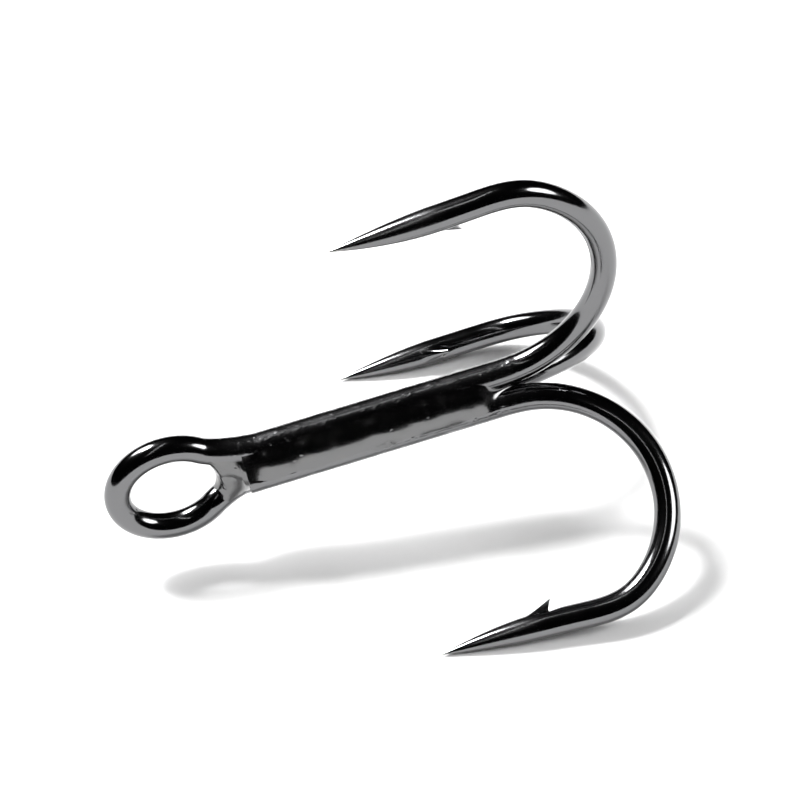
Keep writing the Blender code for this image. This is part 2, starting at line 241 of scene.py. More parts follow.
# %% [markdown]
# ## Putting a skin round a wire
#
# A wire's skin is a grid: one parameter runs along the centre line, the other round it. At each place
# the tangent and the hook's own plane give two spokes, one out of the gape and one to the side. The
# side spokes are steered by an angle that is chosen along the wire, because a frame that simply turns
# as little as possible would leave the barb pointing anywhere.
#
# The barb is made the way the real one is. A chisel lifts a sliver of the wire's own skin, so the
# grid's points near the inside line are pushed inwards and back towards the bend, and drop to a small
# notch behind the cut. No separate cone is stuck on. Points round the wire are packed closer near
# that line, where the fine shape is.

# %% Wire skin with its barb
SIDES = 72
SIDE_PACKING = 0.45
BARB_ROOT = 4.85
BARB_CUT = 6.12
BARB_HEIGHT = 0.62
BARB_REACH = 0.30
BARB_ROOT_WIDTH = 36.0
BARB_NARROWING = 18.0
UPPER_BARB_SHIFT = 0.62
CUT_FACE = 0.005
NOTCH_START = 0.02
NOTCH_DEPTH = 0.15
NOTCH_FADE = 0.9
NOTCH_WIDTH = 30.0
FAR = 1000.0

# Rings along a hook: from, to and step, in millimetres. The first row ends short of the barb's cut,
# the next three are measured from the cut, and the last two from the tip.
BEND_RINGS = (1.5, 0.13)
NOTCH_RINGS = (1.45, 0.06, -0.09)
CUT_RINGS = (0.04, 0.02, 0.006, 0.0)
BARB_RINGS = (0.05, 3.0, -0.06)
POINT_RINGS = (2.94, 0.05, -0.07)
LAST_RING = 0.02


def round_turns(count):
    """Angles round the wire, closest together at the inside line: t less a share of sin t."""
    even = 2 * np.pi * np.arange(count) / count
    return even - SIDE_PACKING * np.sin(even)


def barb_lift(from_tip, turns):
    """How far the skin rises in the gape, and how far it leans back, over length and angle.

    It rises as share^1.5 from root to cut, over a width that narrows, then drops at once to a notch
    that fades out towards the bend. Round the wire it is a parabola, and the notch a bell curve.
    """
    share = np.clip((from_tip - BARB_ROOT) / (BARB_CUT - BARB_ROOT), 0.0, 1.0)
    share = np.where(from_tip > BARB_CUT + CUT_FACE, 0.0, share)
    width = np.radians(BARB_ROOT_WIDTH - BARB_NARROWING * share)
    side = np.abs((turns + np.pi) % (2 * np.pi) - np.pi)
    ridge = np.clip(1.0 - (side[None] / width[:, None]) ** 2, 0.0, 1.0)
    lift = BARB_HEIGHT * share[:, None] ** 1.5 * ridge**0.8
    lean = BARB_REACH * share[:, None] ** 2 * ridge
    behind = np.clip((from_tip - BARB_CUT - NOTCH_START) / NOTCH_FADE, 0.0, 1.0)
    sunk = np.where(from_tip > BARB_CUT + NOTCH_START, (1.0 - behind) ** 2, 0.0)
    scoop = np.exp(-(side / np.radians(NOTCH_WIDTH)) ** 2)
    return lift - NOTCH_DEPTH * sunk[:, None] * scoop[None], lean


def wire_skin(centres, radii, plane_angles, from_tip):
    """Centre plus radius times (-cos t outward + sin t sideways), plus the barb's lift and lean."""
    tangent = np.gradient(centres, axis=0)
    tangent /= np.linalg.norm(tangent, axis=1)[:, None]
    side = np.cross(LEVEL, across(plane_angles))
    outward = np.cross(side, tangent)
    outward /= np.linalg.norm(outward, axis=1)[:, None]
    side = np.cross(tangent, outward)
    turns = round_turns(SIDES)
    cos = np.cos(turns)[None, :, None]
    sin = np.sin(turns)[None, :, None]
    spoke = -cos * outward[:, None] + sin * side[:, None]
    lift, lean = barb_lift(from_tip, turns)
    to_bend = tangent * np.sign(np.gradient(from_tip))[:, None]
    points = centres[:, None] + radii[:, None, None] * spoke
    points += -outward[:, None] * lift[..., None] + to_bend[:, None] * lean[..., None]
    return points, turns


def hook_lengths(barb_shift):
    """Lengths along one hook: even round the bend, closer at the barb's cut and towards the tip."""
    cut = BARB_CUT + barb_shift
    bend = np.arange(0.0, HOOK_LENGTH - cut - BEND_RINGS[0], BEND_RINGS[1])
    notch = HOOK_LENGTH - np.arange(cut + NOTCH_RINGS[0], cut + NOTCH_RINGS[1], NOTCH_RINGS[2])
    step = HOOK_LENGTH - (cut + np.array(CUT_RINGS))
    barb = HOOK_LENGTH - np.arange(cut - BARB_RINGS[0], *BARB_RINGS[1:])
    point = HOOK_LENGTH - np.arange(*POINT_RINGS)
    return np.concatenate([bend, notch, step, barb, point, [HOOK_LENGTH - LAST_RING]])


def length_along(centres):
    """Distance travelled along a row of places."""
    steps = np.linalg.norm(np.diff(centres, axis=0), axis=1)
    return np.concatenate([[0.0], np.cumsum(steps)])


print("rings on one hook:", len(hook_lengths(0.0)))

# %% [markdown]
# ## From a grid of points to a mesh
#
# Every piece here is a grid that closes on itself round the wire, with a pole at each end. One long
# thin end is zipped instead: each place is joined to the one opposite. The faces follow from the grid's
# numbering, so one helper makes them all at once. It also stores three attributes that the materials
# read: the place on the wire as if it were pulled straight, the distance from the point, and how much
# brazing metal lies on the skin. A pattern in straightened coordinates runs round every bend.

# %% Mesh helper
FLANK_COLUMNS = 12
SHARP_ANGLE = 50.0
TINNED_START = (-15.2, -14.0)
TINNED_END = (0.8, 3.2)
TINNED_WIDTH = (2.2, 3.0)


def loop_faces(rows, columns):
    """Four-sided faces between neighbouring rows; the last column joins the first."""
    i, j = np.meshgrid(np.arange(rows - 1) * columns, np.arange(columns), indexing="ij")
    k = (j + 1) % columns
    return np.stack([i + j, i + k, i + columns + k, i + columns + j], axis=-1).reshape(-1, 4)


def zipped_cap(columns, flank):
    """Faces across a long thin end: column c faces column flank - 1 - c, counted round the ring."""
    c = flank // 2 + np.arange(columns // 2 - 1)
    return np.stack([c + 1, c, flank - 1 - c, flank - 2 - c], axis=1) % columns


def skin_object(name, points, poles, straight, from_tip):
    """Mesh of a closed grid. An end closes on its pole; with one pole only, the start is zipped."""
    rows, columns = points.shape[:2]
    verts = np.concatenate([points.reshape(-1, 3), np.array(poles)])
    first = np.arange(columns)
    second = (first + 1) % columns
    last = (rows - 1) * columns
    start_cap = np.stack([second, first, np.full(columns, rows * columns)], axis=1)
    if len(poles) == 1:
        start_cap = zipped_cap(columns, 2 * FLANK_COLUMNS)
    end_cap = np.stack([last + first, last + second, np.full(columns, len(verts) - 1)], axis=1)
    faces = loop_faces(rows, columns).tolist() + start_cap.tolist() + end_cap.tolist()
    mesh = bpy.data.meshes.new(name)
    mesh.from_pydata(to_world(verts).tolist(), [], faces)
    if signed_volume(mesh) < 0.0:
        mesh.flip_normals()
    ends = [0, -1][-len(poles):]
    places = np.concatenate([straight.reshape(-1, 3), straight[ends].mean(axis=1)])
    tips = np.concatenate([np.repeat(from_tip, columns), from_tip[ends]])
    add_attribute(mesh, "straight", "FLOAT_VECTOR", "vector", places)
    add_attribute(mesh, "from_tip", "FLOAT", "value", tips)
    add_attribute(mesh, "tinned", "FLOAT", "value", tinned(verts))
    mesh.shade_smooth()
    mesh.set_sharp_from_angle(angle=math.radians(SHARP_ANGLE))
    piece = bpy.data.objects.new(name, mesh)
    bpy.context.scene.collection.objects.link(piece)
    print(name, "has", len(mesh.polygons), "faces")
    return piece


def tinned(places):
    """1 where brazing metal has run over the shank, fading out towards the eye and the bends."""
    off_axis = np.linalg.norm(places[:, 1:], axis=1)
    eye_side = between(places[:, 0], *TINNED_START)
    bend_side = 1.0 - between(places[:, 0], *TINNED_END)
    return eye_side * bend_side * (1.0 - between(off_axis, *TINNED_WIDTH))


def between(values, low, high):
    """0 below low, 1 above high, and the S-curve of smooth() between."""
    return smooth((values - low) / (high - low))


def signed_volume(mesh):
    """Sum of the small pyramids between the origin and every face; negative is inside out."""
    mesh.calc_loop_triangles()
    corners = np.empty(len(mesh.loop_triangles) * 3, dtype=np.int32)
    mesh.loop_triangles.foreach_get("vertices", corners)
    places = np.empty(len(mesh.vertices) * 3)
    mesh.vertices.foreach_get("co", places)
    a, b, c = places.reshape(-1, 3)[corners.reshape(-1, 3)].transpose(1, 0, 2)
    return float((np.cross(a, b) * c).sum() / 6.0)


def add_attribute(mesh, name, kind, field, values):
    """One value or vector for each vertex."""
    attribute = mesh.attributes.new(name, kind, "POINT")
    attribute.data.foreach_set(field, np.ascontiguousarray(values, dtype=np.float32).ravel())


def straightened(lengths, radii, turns):
    """Length along the wire, and radius times cosine and sine round it."""
    across_wire = radii[:, None] * np.cos(turns)[None]
    up_wire = radii[:, None] * np.sin(turns)[None]
    return np.stack([np.repeat(lengths[:, None], len(turns), axis=1), across_wire, up_wire], axis=-1)


print("a tube of 3 rings of", SIDES, "places has", len(loop_faces(3, SIDES)), "side faces")

# %% [markdown]
# ## The double hook
#
# The long wire runs from the upper point to the rear point. Its stretches are worked out one by one
# and laid end to end: upper hook, shank, leg, eye, leg, shank, rear hook.

# %% Double hook
EYE_STEPS = 150


def join_stretches(stretches):
    """Lay stretches of wire end to end: centres, radii, plane angles and distances from a tip."""
    centres = np.concatenate([s[0] for s in stretches])
    radii = np.concatenate([s[1] for s in stretches])
    angles = np.concatenate([np.linspace(s[2], s[3], len(s[0])) for s in stretches])
    from_tip = np.concatenate([s[4] if len(s) > 4 else np.full(len(s[0]), FAR) for s in stretches])
    return centres, radii, angles, from_tip


def double_hook():
    """One wire from point to point, through the eye."""
    upper_lengths = hook_lengths(UPPER_BARB_SHIFT)
    rear_lengths = hook_lengths(0.0)
    upper = hook_centres(upper_lengths, UPPER_ANGLE)[::-1]
    rear = hook_centres(rear_lengths, REAR_ANGLE)
    upper_tips = (HOOK_LENGTH - upper_lengths - UPPER_BARB_SHIFT)[::-1]
    upper_run = shank_run(UPPER_LEG_X, UPPER_ANGLE)
    rear_run = shank_run(LOWER_LEG_X, REAR_ANGLE)
    oval = eye_oval(np.linspace(EYE_LEAVES, 360.0 - EYE_LEAVES, EYE_STEPS))
    turned = REAR_ANGLE - 180.0
    centres, wire, angles, from_tip = join_stretches((
        (upper, hook_radius(upper_lengths)[::-1], UPPER_ANGLE, UPPER_ANGLE, upper_tips),
        (upper_run[::-1], np.full(len(upper_run), SHANK_WIRE), UPPER_ANGLE, UPPER_ANGLE),
        (upper_leg[::-1], leg_radius(upper_leg)[::-1], UPPER_ANGLE, EYE_TILT),
        (oval, np.full(len(oval), EYE_WIRE), EYE_TILT, EYE_TILT),
        (lower_leg, leg_radius(lower_leg), EYE_TILT, turned),
        (rear_run, np.full(len(rear_run), SHANK_WIRE), turned, turned),
        (rear, hook_radius(rear_lengths), turned, turned, HOOK_LENGTH - rear_lengths),
    ))
    points, turns = wire_skin(centres, wire, angles, from_tip)
    end = np.array([HOOK_LENGTH])
    poles = [hook_centres(end, UPPER_ANGLE)[0], hook_centres(end, REAR_ANGLE)[0]]
    straight = straightened(length_along(centres), wire, turns)
    return skin_object("double_hook_wire", points, poles, straight, from_tip)


double_wire = double_hook()

# %% [markdown]
# ## The single hook
#
# The third hook is the same bend, with no eye. Its shank ends in a cut: the shears leave a flat face
# with a slightly rolled edge, so the last few rings shrink over a few hundredths of a millimetre.

# %% Single hook
CUT_END_X = -13.5
CUT_ROLL = 0.05
ROLL_RINGS = 6


def single_hook():
    """The front hook, from its square cut to its point; the cut's edge is a quarter circle."""
    lengths = hook_lengths(0.0)
    roll = np.linspace(0.0, np.pi / 2, ROLL_RINGS)
    edge = CUT_END_X + CUT_ROLL * (1.0 - np.cos(roll))
    edge_radii = SHANK_WIRE - CUT_ROLL * (1.0 - np.sin(roll))
    run = shank_run(CUT_END_X + CUT_ROLL, FRONT_ANGLE)
    turned = FRONT_ANGLE - 180.0
    centres, wire, angles, from_tip = join_stretches((
        (np.array([on_shank(x, FRONT_ANGLE) for x in edge]), edge_radii, turned, turned),
        (run, np.full(len(run), SHANK_WIRE), turned, turned),
        (hook_centres(lengths, FRONT_ANGLE), hook_radius(lengths), turned, turned, HOOK_LENGTH - lengths),
    ))
    points, turns = wire_skin(centres, wire, angles, from_tip)
    poles = [on_shank(CUT_END_X, FRONT_ANGLE), hook_centres(np.array([HOOK_LENGTH]), FRONT_ANGLE)[0]]
    straight = straightened(length_along(centres), wire, turns)
    return skin_object("single_hook_wire", points, poles, straight, from_tip)


single_wire = single_hook()

# %% [markdown]
# ## The routes that brazing metal follows
#
# Melted brazing metal is pulled into the grooves between touching wires and climbs their sides, so its
# shape is given by the wires. The first thing it needs is each wire's route past the shank: where its
# middle is, and how thick it is, at every x from the eye to the bends. Reading both from one table for
# each wire is simpler than asking the finished meshes, and it stays exact when a size changes.

# %% Routes of the three wires
TUCK = 0.005
ROUTE_BEND = 6.5
ROUTE_END_X = -0.2
ROUTE_STEPS = (40, 60)
ROUTE_GAP = 0.1
EYE_ROUTE_END = 70.0
EYE_ROUTE_STEPS = 12


def route(angle, start_x, bent=()):
    """Places and radii along one wire near the shank, in order of x, from the eye to the bend."""
    lengths = np.linspace(0.0, ROUTE_BEND, ROUTE_STEPS[0])
    run = np.linspace(start_x, ROUTE_END_X, ROUTE_STEPS[1])
    centres = [hook_centres(lengths, angle), np.array([on_shank(x, angle) for x in run])]
    radii = [hook_radius(lengths), np.full(len(run), SHANK_WIRE)]
    centres = np.concatenate(centres + [places for places, _ in bent])
    radii = np.concatenate(radii + [sizes for _, sizes in bent])
    order = np.argsort(centres[:, 0])
    return centres[order], radii[order]


def leg_route(angle, leg, ring):
    """The route of a wire that goes on into the eye: shank, leg and the start of the oval."""
    stretches = ((leg, leg_radius(leg)), (ring, np.full(len(ring), EYE_WIRE)))
    return route(angle, leg[-1, 0] + ROUTE_GAP, stretches)


def middle_at(wire, x):
    """Place on a wire's centre line at each x."""
    centres, _ = wire
    return np.stack([np.interp(x, centres[:, 0], centres[:, k]) for k in range(3)], axis=-1)


def radius_at(wire, x):
    """Radius a hair under the wire's skin, so that brazing metal has no gap against it."""
    centres, radii = wire
    return np.interp(x, centres[:, 0], radii) - TUCK


oval_degrees = np.linspace(EYE_LEAVES, EYE_ROUTE_END, EYE_ROUTE_STEPS)
upper_route = leg_route(UPPER_ANGLE, upper_leg, eye_oval(oval_degrees))
front_route = route(FRONT_ANGLE, CUT_END_X)
rear_route = leg_route(REAR_ANGLE, lower_leg, eye_oval(360.0 - oval_degrees))
print("routes have", len(upper_route[0]), len(front_route[0]), "and", len(rear_route[0]), "places")

# %% [markdown]
# ## Flanks and a free face
#
# Each fill lies on two wires, along an arc on each that is called a flank here. Its free face meets both
# wires without a step, so it is drawn as a Hermite curve that leaves one wire along its own surface
# and joins the other along its surface. A boolean cut of a bar by three wires would also fill a
# groove, but it leaves a rough mesh and a hard edge.
#
# Angles are measured round a wire, from the side that faces its neighbour. A pull says how far the
# free face keeps the direction in which it leaves a wire: more pull on one side makes it bulge.

# %% Flanks and a free face
EVEN_PULLS = (1.05, 1.05)
SLOPE_STEP = 0.05
FACE_COLUMNS = 25


def unit(vectors):
    """Vectors of length 1."""
    return vectors / np.linalg.norm(vectors, axis=-1, keepdims=True)


def along_out(vectors, direction):
    """The part of each vector that is square to a direction."""
    return vectors - direction * (vectors * direction).sum(axis=-1, keepdims=True)


def flank(wire, x, inward, outward, turns):
    """Arc on a wire: middle + radius (cos t towards its neighbour + sin t outward), and its slopes."""
    direction = unit(middle_at(wire, x + SLOPE_STEP) - middle_at(wire, x - SLOPE_STEP))
    side = unit(along_out(inward, direction))
    top = unit(along_out(along_out(outward, direction), side))
    cos = np.cos(turns)[..., None]
    sin = np.sin(turns)[..., None]
    spokes = cos * side[:, None] + sin * top[:, None]
    slopes = sin * side[:, None] - cos * top[:, None]
    return middle_at(wire, x)[:, None] + radius_at(wire, x)[:, None, None] * spokes, slopes


def free_face(near, near_slope, far, far_slope, pulls=EVEN_PULLS):
    """Hermite curve that leaves one flank and joins the other along their own surfaces."""
    t = np.linspace(0.0, 1.0, FACE_COLUMNS + 2)[1:-1][None, :, None]
    chord = np.linalg.norm(far - near, axis=-1)[:, None, None]
    near = near[:, None]
    far = far[:, None]
    near_slope = near_slope[:, None] * chord * pulls[0]
    far_slope = far_slope[:, None] * chord * pulls[1]
    return ((2 * t**3 - 3 * t**2 + 1) * near + (t**3 - 2 * t**2 + t) * near_slope
            + (3 * t**2 - 2 * t**3) * far + (t**3 - t**2) * far_slope)


print("a fill's section has", 2 * FLANK_COLUMNS, "places on its flanks and", FACE_COLUMNS, "on its free face")

# %% [markdown]
# ## Seams along the shank
#
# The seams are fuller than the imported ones, thin out at both ends, and swell and shrink along the shank
# as the torch moved. The front one ran so full that it bulges. Every seam is the same function with its
# own fill angles; a few waves in random directions keep its face from looking machined.

# %% Seams in the three grooves
SEAM_START_X = -13.46
FRONT_END_X = 1.7
OTHER_END_X = 2.0
SEAM_FADE = 2.4
FRONT_FILLS = (99.0, 113.0)
OTHER_FILLS = (84.0, 84.0)
FRONT_PULLS = (0.7, 1.9)
SEAM_RIPPLE = 4.0
RIPPLE_PACES = (1.9, 3.1)
RIPPLE_SHARE = 0.6
START_SHARE = 0.8
START_FADE = 1.6
THINNEST = 0.06
SEAM_EDGE = 0.01
SEAM_ROWS = 340
SEAM_LUMP = 0.01
LUMP_PACE = 2.6
LUMP_STRENGTHS = (1.0, 0.8, 0.6, 0.5, 0.4)


def lumps(x, turns, seed, scale):
    """Sum of a few waves in random directions over length and angle, between about -1 and 1."""
    chance = np.random.default_rng(seed)
    total = np.zeros(np.broadcast(x, turns).shape)
    for strength in LUMP_STRENGTHS:
        wave_x = chance.uniform(0.6, 1.0) * scale / strength
        wave_t = chance.uniform(-2.0, 2.0)
        start = chance.uniform(0, 6)
        total += strength * np.sin(wave_x * x + wave_t * turns + start)
    return total / 2.0


def fill_object(name, points, lengths, zipped=False):
    """A swept fill, closed at both ends, with a wire's attributes; a zipped start has no pole."""
    centre = points.mean(axis=1, keepdims=True)
    straight = points - centre
    straight[..., 0] = lengths[:, None]
    poles = [centre[0, 0], centre[-1, 0]][int(zipped):]
    return skin_object(name, points, poles, straight, np.full(len(lengths), FAR))


def seam(name, first, second, third, end_x, fill_angles, pulls, phase):
    """Two flanks and a free face between them, swept along the shank and thinned at both ends.

    Each flank starts where the wires nearly touch and climbs to the fill angle, plus two slow waves.
    """
    x = np.linspace(SEAM_START_X, end_x, SEAM_ROWS)
    a = middle_at(first, x)
    b = middle_at(second, x)
    over = unit(b - a)
    from_third = 0.5 * (a + b) - middle_at(third, np.maximum(x, CUT_END_X))
    outward = unit(along_out(from_third * (1.0 - LEVEL), over))
    half = 0.5 * np.linalg.norm(b - a, axis=1)
    radius = np.maximum(radius_at(first, x), radius_at(second, x))
    low = np.arccos(np.minimum((half - SEAM_EDGE) / radius, 1.0))
    start = START_SHARE + (1.0 - START_SHARE) * smooth((x - SEAM_START_X) / START_FADE)
    ends = start * smooth((end_x - x) / SEAM_FADE)
    slow, quick = RIPPLE_PACES
    ripple = np.sin(slow * x + phase) + RIPPLE_SHARE * np.sin(quick * x + 2.0 * phase)
    sides = []
    for wire, way, fill in ((first, over, fill_angles[0]), (second, -over, fill_angles[1])):
        high = low + (np.radians(fill + SEAM_RIPPLE * ripple) - low) * (THINNEST + (1.0 - THINNEST) * ends)
        turns = low[:, None] + (high - low)[:, None] * np.linspace(0.0, 1.0, FLANK_COLUMNS)[None]
        sides.append(flank(wire, x, way, outward, turns))
    (near, near_slope), (far, far_slope) = sides
    face = free_face(near[:, -1], near_slope[:, -1], far[:, -1], -far_slope[:, -1], pulls)
    t = np.linspace(0.0, 1.0, FACE_COLUMNS + 2)[1:-1]
    swell = lumps(x[:, None], t[None] * 3.0, int(phase * 10), LUMP_PACE) * ends[:, None]
    swell = swell * np.sin(np.pi * t)[None]
    face = face + outward[:, None] * (SEAM_LUMP * swell)[..., None]
    points = np.concatenate([near, face, far[:, ::-1]], axis=1)
    return fill_object(name, points, x)


fills = {
    "braze_front": seam("braze_front_fill", upper_route, front_route, rear_route,
                        FRONT_END_X, FRONT_FILLS, FRONT_PULLS, 0.5),
    "braze_under": seam("braze_under_fill", front_route, rear_route, upper_route,
                        OTHER_END_X, OTHER_FILLS, EVEN_PULLS, 2.0),
    "braze_rear": seam("braze_rear_fill", rear_route, upper_route, front_route,
                       OTHER_END_X, OTHER_FILLS, EVEN_PULLS, 3.5),
}
print("seams made:", sorted(fills))

# %% [markdown]
# ## The web between the eye's legs
#
# Brazing metal also bridges the gap between the eye's two legs, like a web between two fingers. Its edge
# is thin and round, which gives the eye's hole its round end, and its front swells to meet the cut end
# of the single hook. It is swept along the shank like the seams, with a back face as well as a front.

# %% Web between the eye's legs
WEB_EDGE_X = -15.25
WEB_MIDDLE_X = -14.8
WEB_END_X = -13.2
WEB_FILLS = (88.0, 96.0)
WEB_BACK_SHARE = 0.6
WEB_SWELL = 0.62
WEB_CREASE = 0.05
CREASE_PLACE = 0.45
CREASE_WIDTH = 0.05
WEB_ROUNDING = 0.16
WEB_THIN = 0.2
WEB_ROWS = 120
WEB_PACKING = 1.6


def web(name, upper, rear):
    """The fill between the eye's legs, from a thin round edge at the eye to the cut end.

    Each section has two flanks, which reach round as 1 - (1 - share)^2 under a square root, a front
    face and a back face. Both faces bow towards the bends by a parabola, to give the eye's hole its
    round end. The front face swells by a sine, less a bell-shaped crease along its middle.
    """
    share = np.linspace(0.0, 1.0, WEB_ROWS) ** WEB_PACKING
    x = WEB_EDGE_X + (WEB_END_X - WEB_EDGE_X) * share
    outward = np.broadcast_to(across(EYE_TILT + 90.0), (len(x), 3))
    a = middle_at(upper, x)
    b = middle_at(rear, x)
    rounding = 1.0 - np.minimum(share / WEB_ROUNDING, 1.0)
    reach = WEB_THIN + (1.0 - WEB_THIN) * np.sqrt(1.0 - rounding**2)
    turns = reach[:, None] * np.linspace(-WEB_BACK_SHARE, 1.0, 2 * FLANK_COLUMNS)[None]
    near, near_slope = flank(upper, x, b - a, outward, np.radians(WEB_FILLS[0]) * turns)
    far, far_slope = flank(rear, x, a - b, outward, np.radians(WEB_FILLS[1]) * turns)
    dip = reach[:, None]
    front = free_face(near[:, -1], near_slope[:, -1] * dip, far[:, -1], -far_slope[:, -1] * dip)
    back = free_face(far[:, 0], far_slope[:, 0], near[:, 0], near_slope[:, 0], (0.0, 0.0))
    t = np.linspace(0.0, 1.0, FACE_COLUMNS + 2)[1:-1][None]
    hollow = (WEB_MIDDLE_X - WEB_EDGE_X) * (1.0 - share[:, None]) * 4.0 * t * (1.0 - t)
    swell = WEB_SWELL * smooth(share * 1.1 - 0.1)[:, None] * np.sin(np.pi * t)
    crease = WEB_CREASE * np.exp(-((t - CREASE_PLACE) / CREASE_WIDTH) ** 2)
    crease = crease * smooth(3.0 - 5.0 * share)[:, None]
    front = front + hollow[..., None] * LEVEL + (swell - crease)[..., None] * outward[:, None]
    back = back + hollow[..., None] * LEVEL
    points = np.concatenate([near, front, far[:, ::-1], back], axis=1)
    return fill_object(name, points, x, zipped=True)


fills["braze_neck"] = web("braze_neck_fill", upper_route, rear_route)
print("web is", round(WEB_END_X - WEB_EDGE_X, 2), "mm long")

# %% [markdown]
# ## Writing a material as sums
#
# A finish is easiest to read as arithmetic: roughness is a base plus smudges plus scratches. The small
# class below wraps a shader socket so that Python's own + - * / build the Math nodes. Everything else
# goes through one method that names the node, its settings and the values of its sockets.

# %% Shader helpers
class Signal:
    """A shader socket that can stand in a Python sum."""

    def __init__(self, finish, socket):
        self.finish = finish
        self.socket = socket

    def reckon(self, operation, *values):
        if self.socket.type in ("VECTOR", "RGBA"):
            return self.finish.node("ShaderNodeVectorMath", {"operation": operation}, dict(enumerate(values)))
        return self.finish.node("ShaderNodeMath", {"operation": operation}, dict(enumerate(values)))

    def __add__(self, other):
        return self.reckon("ADD", self, other)

    __radd__ = __add__

    def __sub__(self, other):
        return self.reckon("SUBTRACT", self, other)

    def __rsub__(self, other):
        return self.reckon("SUBTRACT", other, self)

    def __mul__(self, other):
        return self.reckon("MULTIPLY", self, other)

    __rmul__ = __mul__

    def __truediv__(self, other):
        return self.reckon("DIVIDE", self, other)

    def __pow__(self, other):
        return self.reckon("POWER", self, other)

    def ramp(self, low, high):
        """0 below low, 1 above high, and an S-curve between."""
        return self.finish.node("ShaderNodeMapRange", {"interpolation_type": "SMOOTHSTEP"},
                                {"Value": self, "From Min": low, "From Max": high})


class Finish:
    """A material under construction."""

    def __init__(self, name):
        self.material = bpy.data.materials.new(name)
        self.material.use_nodes = True
        self.tree = self.material.node_tree
        self.shader = self.tree.nodes["Principled BSDF"]

    def node(self, kind, settings, sockets, output=0):
        """Add a node, set it up, and return one of its outputs."""
        node = self.tree.nodes.new(kind)
        for key, value in settings.items():
            setattr(node, key, value)
        for key, value in sockets.items():
            self.feed(node.inputs[key], value)
        return Signal(self, node.outputs[output])

    def feed(self, socket, value):
        """Link a signal, or set a constant."""
        if isinstance(value, Signal):
            self.tree.links.new(value.socket, socket)
        elif socket.type in ("VECTOR", "RGBA") and not hasattr(value, "__len__"):
            socket.default_value = (value,) * len(socket.default_value)
        else:
            socket.default_value = value

    def straight(self):
        """The place on the wire as if it were pulled straight, in millimetres."""
        return self.node("ShaderNodeAttribute", {"attribute_name": "straight"}, {}, "Vector")

    def value_of(self, name):
        """One of the mesh's own numbers."""
        return self.node("ShaderNodeAttribute", {"attribute_name": name}, {}, "Fac")

    def noise(self, place, scale, detail=3.0):
        """Cloudy pattern between 0 and 1."""
        sockets = {"Vector": place, "Scale": scale, "Detail": detail, "Roughness": 0.5}
        return self.node("ShaderNodeTexNoise", {}, sockets, "Fac")

    def cells(self, place, scale):
        """Distance to the nearest of many scattered points."""
        return self.node("ShaderNodeTexVoronoi", {}, {"Vector": place, "Scale": scale}, "Distance")

    def mixed(self, share, first, second):
        """Blend of two colours."""
        return self.node("ShaderNodeMix", {"data_type": "RGBA"}, {0: share, 6: first, 7: second}, 2)

    def bump(self, height, distance, below=None):
        """Tilt the surface as if it rose by the height times a distance in metres."""
        sockets = {"Height": height, "Distance": distance, "Strength": 1.0}
        if below is not None:
            sockets["Normal"] = below
        return self.node("ShaderNodeBump", {}, sockets, "Normal")

    def finish(self, **sockets):
        """Connect the shader's own sockets."""
        for key, value in sockets.items():
            self.feed(self.shader.inputs[key.replace("_", " ")], value)
        print(self.material.name, "has", len(self.tree.nodes), "nodes")
        return self.material


print("sums that a signal understands:", "+ - * / ** and ramp")

# %% [markdown]
# ## Black nickel
#
# The plating is thin and glossy: it copies whatever is under it. On drawn wire that is faint lines
# along the length. On the ground points it is fine scratches round the taper. Where brazing metal ran
# over the shank it is lumps and specks. The colour is nearly neutral, so almost all the detail comes
# from how the surface tilts, and the tilts are only micrometres deep.

# %% Black nickel on the wires
NICKEL = (0.14, 0.14, 0.143, 1.0)
NICKEL_WORN = (0.30, 0.29, 0.275, 1.0)
NICKEL_POLISH = 0.11
GROUND_LENGTH = (4.6, 6.2)
WORN_LENGTH = (0.0, 0.9)
LUMP_HEIGHT = 22e-6
MICROMETRE = 1e-6


def black_nickel(name, shift):
    """Dark mirror plating, with drawing lines, grinding marks, wear at the points and braze lumps.

    Relief is the sum of peel, lines, rings and pits. The shift moves every pattern along the wire.
    """
    finish = Finish(name)
    place = finish.straight() + (shift, shift * 0.7, 0.0)
    from_tip = finish.value_of("from_tip")
    tinned = finish.value_of("tinned")
    ground = 1.0 - from_tip.ramp(*GROUND_LENGTH)
    very_tip = 1.0 - from_tip.ramp(*WORN_LENGTH)
    smudge = finish.noise(place, 0.6, 4.0)
    dust = finish.noise(place, 14.0, 2.0).ramp(0.62, 0.72)
    lines = finish.noise(place * (0.12, 16.0, 16.0), 1.0, 3.0)
    rings = finish.noise(place * (26.0, 1.4, 1.4), 1.0, 3.0)
    peel = finish.noise(place, 2.2, 2.0)
    pits = finish.cells(place, 5.0).ramp(0.0, 0.16)
    lump = finish.noise(place * (0.8, 1.5, 1.5), 1.4, 2.0).ramp(0.5, 0.78)
    patch = finish.noise(place, 0.8, 2.0).ramp(0.46, 0.58)
    speck = (1.0 - finish.cells(place * (0.6, 1.0, 1.0), 2.4).ramp(0.03, 0.3)) * patch
    relief = peel * 1.6 + lines * (1.1 - 0.5 * ground) + rings * ground * 1.0 + pits * 0.8
    normal = finish.bump(relief, MICROMETRE)
    normal = finish.bump((lump * 0.8 + speck) * tinned, LUMP_HEIGHT, normal)
    wear = very_tip * finish.noise(place, 6.0, 3.0).ramp(0.35, 0.6)
    colour = finish.mixed(wear * 0.6, NICKEL, NICKEL_WORN)
    roughness = NICKEL_POLISH + smudge.ramp(0.35, 0.75) * 0.04 + dust * 0.05 + ground * 0.05
    roughness = roughness + wear * 0.1 + tinned * 0.06
    return finish.finish(Base_Color=colour, Metallic=1.0, Roughness=roughness, Normal=normal)


double_nickel = black_nickel("black_nickel_double", 0.0)
single_nickel = black_nickel("black_nickel_single", 31.0)

